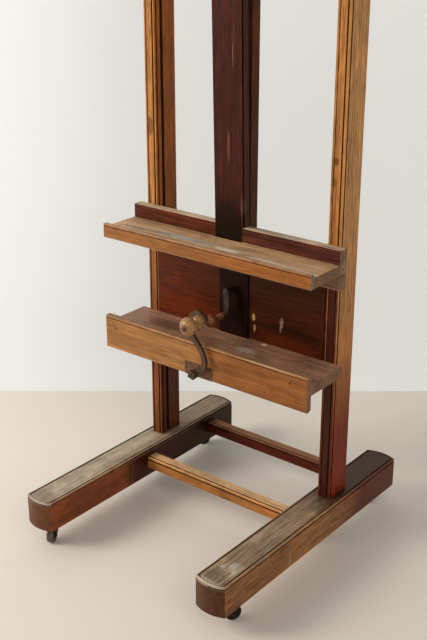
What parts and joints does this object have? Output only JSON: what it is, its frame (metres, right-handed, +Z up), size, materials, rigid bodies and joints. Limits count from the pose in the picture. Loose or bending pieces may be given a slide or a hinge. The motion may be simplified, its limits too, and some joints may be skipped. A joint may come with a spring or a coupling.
{
  "type": "studio easel",
  "caption": "Wooden artist's studio easel on castors: a crank-wound carriage with a canvas tray and a lower shelf between uprights, and a canting mast with a sliding canvas clamp.",
  "frame": {"origin": "centre of the footprint at floor level, under the castor wheels", "axes": "+Z up, -Y towards the painter (front), +X to the right seen from the front"},
  "size_m": [0.604, 0.72, 1.8969],
  "materials": {
    "walnut": "waxed, worn",
    "walnut_dark": "dark polished",
    "walnut_light": "waxed, worn light",
    "iron": "dark oxidised",
    "iron_dark": "black",
    "turned": "hand-polished"
  },
  "bodies": {
    "frame": {"base_rail_left": "walnut", "base_rail_right": "walnut", "stretcher_front": "walnut_light", "stretcher_rear": "walnut", "upright_left": "walnut_light", "upright_right": "walnut_light", "head_rail": "walnut", "rack_post": "walnut_dark", "rack_strip": "iron", "castor_front_left_plate": "iron", "castor_front_right_plate": "iron", "castor_rear_left_plate": "iron", "castor_rear_right_plate": "iron"},
    "carriage": {"runner_left": "walnut_dark", "runner_right": "walnut_dark", "carriage_rail_upper": "walnut_dark", "carriage_rail_lower": "walnut_dark", "apron_left": "walnut", "apron_right": "walnut", "centre_stile": "walnut_dark", "tray_board": "walnut", "tray_front_strip": "walnut_light", "tray_ledge_left": "walnut", "tray_ledge_right": "walnut", "tray_batten_left": "walnut", "tray_batten_right": "walnut", "shelf_board": "walnut", "shelf_batten": "walnut", "shelf_front_board": "walnut_light", "crank_plate": "iron", "lock_shoe": "iron", "mast_pin": "iron"},
    "winder": {"winder_shaft": "iron", "winder_pinion": "iron", "winder_crank_arm": "iron", "winder_nut": "iron", "winder_grip_pin": "iron"},
    "winder_grip": {"winder_grip": "turned"},
    "lock": {"lock_screw": "iron", "lock_arm": "iron", "lock_grip_pin": "iron"},
    "lock_grip": {"lock_grip": "turned"},
    "mast": {"mast": "walnut_dark"},
    "canvas_clamp": {"clamp_block": "walnut_dark", "clamp_jaw": "walnut"},
    "clamp_screw": {"clamp_screw": "iron"},
    "castor_front_left": {"castor_front_left_fork": "iron", "castor_front_left_axle": "iron"},
    "wheel_front_left": {"castor_front_left_wheel": "iron_dark"},
    "castor_front_right": {"castor_front_right_fork": "iron", "castor_front_right_axle": "iron"},
    "wheel_front_right": {"castor_front_right_wheel": "iron_dark"},
    "castor_rear_left": {"castor_rear_left_fork": "iron", "castor_rear_left_axle": "iron"},
    "wheel_rear_left": {"castor_rear_left_wheel": "iron_dark"},
    "castor_rear_right": {"castor_rear_right_fork": "iron", "castor_rear_right_axle": "iron"},
    "wheel_rear_right": {"castor_rear_right_wheel": "iron_dark"}
  },
  "joints": [
    {"name": "carriage_slide", "type": "slide", "parent": "frame", "child": "carriage", "axis": [0, 0, 1], "range_m": [-0.025, 0.85]},
    {"name": "winder_turn", "type": "hinge", "parent": "carriage", "child": "winder", "pos_m": [-0.005, -0.07, 0.431], "axis": [0, 1, 0], "range_deg": [-3300, 110]},
    {"name": "winder_grip_spin", "type": "hinge", "parent": "winder", "child": "winder_grip", "pos_m": [0.026, -0.115, 0.576], "axis": [0, 1, 0], "continuous": true},
    {"name": "lock_turn", "type": "hinge", "parent": "carriage", "child": "lock", "pos_m": [-0.005, 0.05, 0.598], "axis": [0, 1, 0], "range_deg": [-150, 150]},
    {"name": "lock_grip_spin", "type": "hinge", "parent": "lock", "child": "lock_grip", "pos_m": [-0.009, 0.01, 0.541], "axis": [0, 1, 0], "continuous": true},
    {"name": "mast_cant", "type": "hinge", "parent": "carriage", "child": "mast", "pos_m": [-0.005, 0.0647, 0.712], "axis": [1, 0, 0], "range_deg": [-1.5, 6]},
    {"name": "clamp_slide", "type": "slide", "parent": "mast", "child": "canvas_clamp", "axis": [0, -0.0267, 0.9996], "range_m": [-0.68, 0.3]},
    {"name": "clamp_screw_turn", "type": "hinge", "parent": "canvas_clamp", "child": "clamp_screw", "pos_m": [-0.005, 0.0025, 1.54264], "axis": [0, -0.9996, -0.0267], "range_deg": [-360, 360]},
    {"name": "swivel_front_left", "type": "hinge", "parent": "frame", "child": "castor_front_left", "pos_m": [-0.262, -0.305, 0.045], "axis": [0, 0, 1], "continuous": true},
    {"name": "roll_front_left", "type": "hinge", "parent": "castor_front_left", "child": "wheel_front_left", "pos_m": [-0.25236, -0.32477, 0.019], "axis": [0.8988, 0.4384, 0], "continuous": true},
    {"name": "swivel_front_right", "type": "hinge", "parent": "frame", "child": "castor_front_right", "pos_m": [0.262, -0.305, 0.045], "axis": [0, 0, 1], "continuous": true},
    {"name": "roll_front_right", "type": "hinge", "parent": "castor_front_right", "child": "wheel_front_right", "pos_m": [0.27233, -0.28558, 0.019], "axis": [-0.8829, 0.4695, 0], "continuous": true},
    {"name": "swivel_rear_left", "type": "hinge", "parent": "frame", "child": "castor_rear_left", "pos_m": [-0.262, 0.305, 0.045], "axis": [0, 0, 1], "continuous": true},
    {"name": "roll_rear_left", "type": "hinge", "parent": "castor_rear_left", "child": "wheel_rear_left", "pos_m": [-0.27885, 0.29086, 0.019], "axis": [0.6428, -0.766, 0], "continuous": true},
    {"name": "swivel_rear_right", "type": "hinge", "parent": "frame", "child": "castor_rear_right", "pos_m": [0.262, 0.305, 0.045], "axis": [0, 0, 1], "continuous": true},
    {"name": "roll_rear_right", "type": "hinge", "parent": "castor_rear_right", "child": "wheel_rear_right", "pos_m": [0.24033, 0.30882, 0.019], "axis": [-0.1736, -0.9848, 0], "continuous": true}
  ],
  "couplings": [
    {"joint": "winder_turn", "follows": "carriage_slide", "rad_per_m": -66.667}
  ]
}
